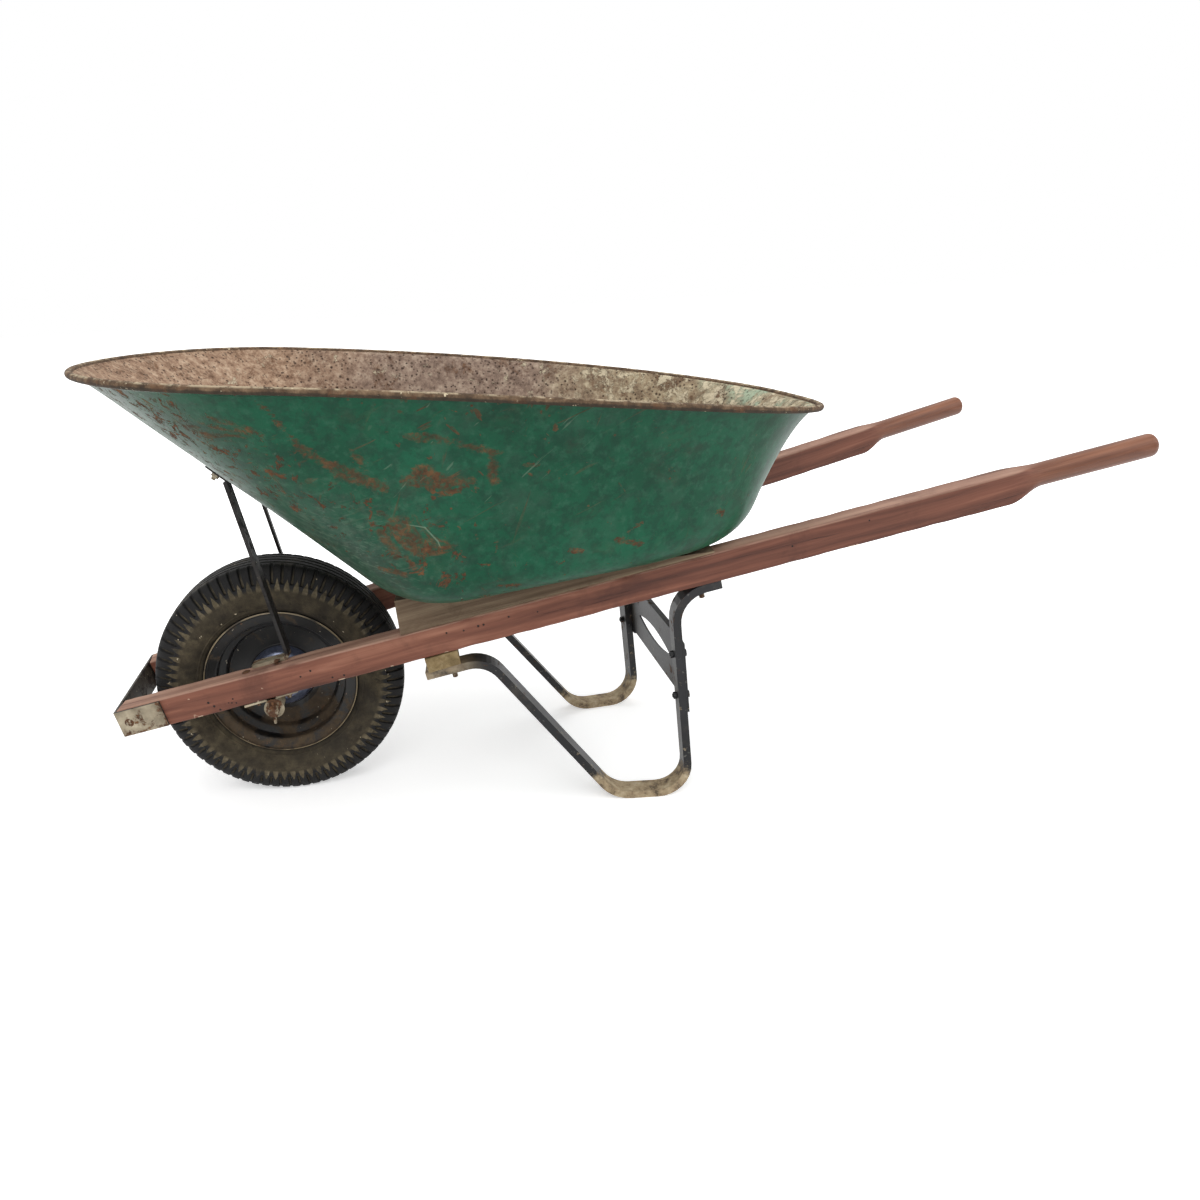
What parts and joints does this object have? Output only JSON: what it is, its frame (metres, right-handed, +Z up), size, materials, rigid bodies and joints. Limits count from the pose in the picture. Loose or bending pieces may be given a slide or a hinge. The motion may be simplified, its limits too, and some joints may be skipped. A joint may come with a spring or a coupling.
{
  "type": "wheelbarrow",
  "caption": "Wooden-handled wheelbarrow with a deep pressed-steel tray, channel steel legs and one pneumatic front wheel, for moving loose loads by hand.",
  "frame": {"origin": "middle of the footprint on the ground, below the middle of the overall length and width", "axes": "+X along the barrow from the wheel towards the grips, +Z up, +Y completing a right-handed frame: the side of the right handle"},
  "size_m": [1.4953, 0.724, 0.6892],
  "materials": {
    "steel_paint": "chipped green paint over rusty sheet steel",
    "handle_wood": "weathered reddish hardwood, worn paler on top",
    "block_wood": "bare weathered softwood",
    "black_steel": "worn black paint with rust and dried mud",
    "rusty_steel": "rusty, dirty zinc plating",
    "bearing_bronze": "greasy sintered bronze",
    "tyre_rubber": "worn black rubber with dried dirt",
    "tube_rubber": "plain black rubber"
  },
  "bodies": {
    "frame": {"tray": "steel_paint", "left_handle": "handle_wood", "right_handle": "handle_wood", "left_wedge": "block_wood", "right_wedge": "block_wood", "front_bolster": "block_wood", "left_leg": "black_steel", "right_leg": "black_steel", "leg_brace": "black_steel", "left_tray_brace": "rusty_steel", "right_tray_brace": "rusty_steel", "nose_guard": "rusty_steel", "left_axle_bracket": "rusty_steel", "right_axle_bracket": "rusty_steel", "axle": "rusty_steel", "axle_spacers": "rusty_steel", "axle_washers": "rusty_steel", "axle_cotters": "rusty_steel", "nose_guard_bolts": "rusty_steel", "nose_guard_nuts": "rusty_steel", "bracket_bolts": "rusty_steel", "bracket_nuts": "rusty_steel", "tray_bolts": "rusty_steel", "tray_bolt_nuts": "rusty_steel", "leg_brace_bolts": "rusty_steel", "leg_brace_nuts": "rusty_steel", "tray_brace_bolts": "rusty_steel", "tray_brace_nuts": "rusty_steel"},
    "wheel": {"tyre": "tyre_rubber", "inner_tube": "tube_rubber", "valve_stem": "tube_rubber", "left_rim_half": "black_steel", "right_rim_half": "black_steel", "hub_tube": "black_steel", "left_bearing": "bearing_bronze", "right_bearing": "bearing_bronze"}
  },
  "joints": [
    {"name": "wheel_spin", "type": "hinge", "parent": "frame", "child": "wheel", "pos_m": [-0.51277, 0, 0.194], "axis": [0, 1, 0], "continuous": true}
  ]
}
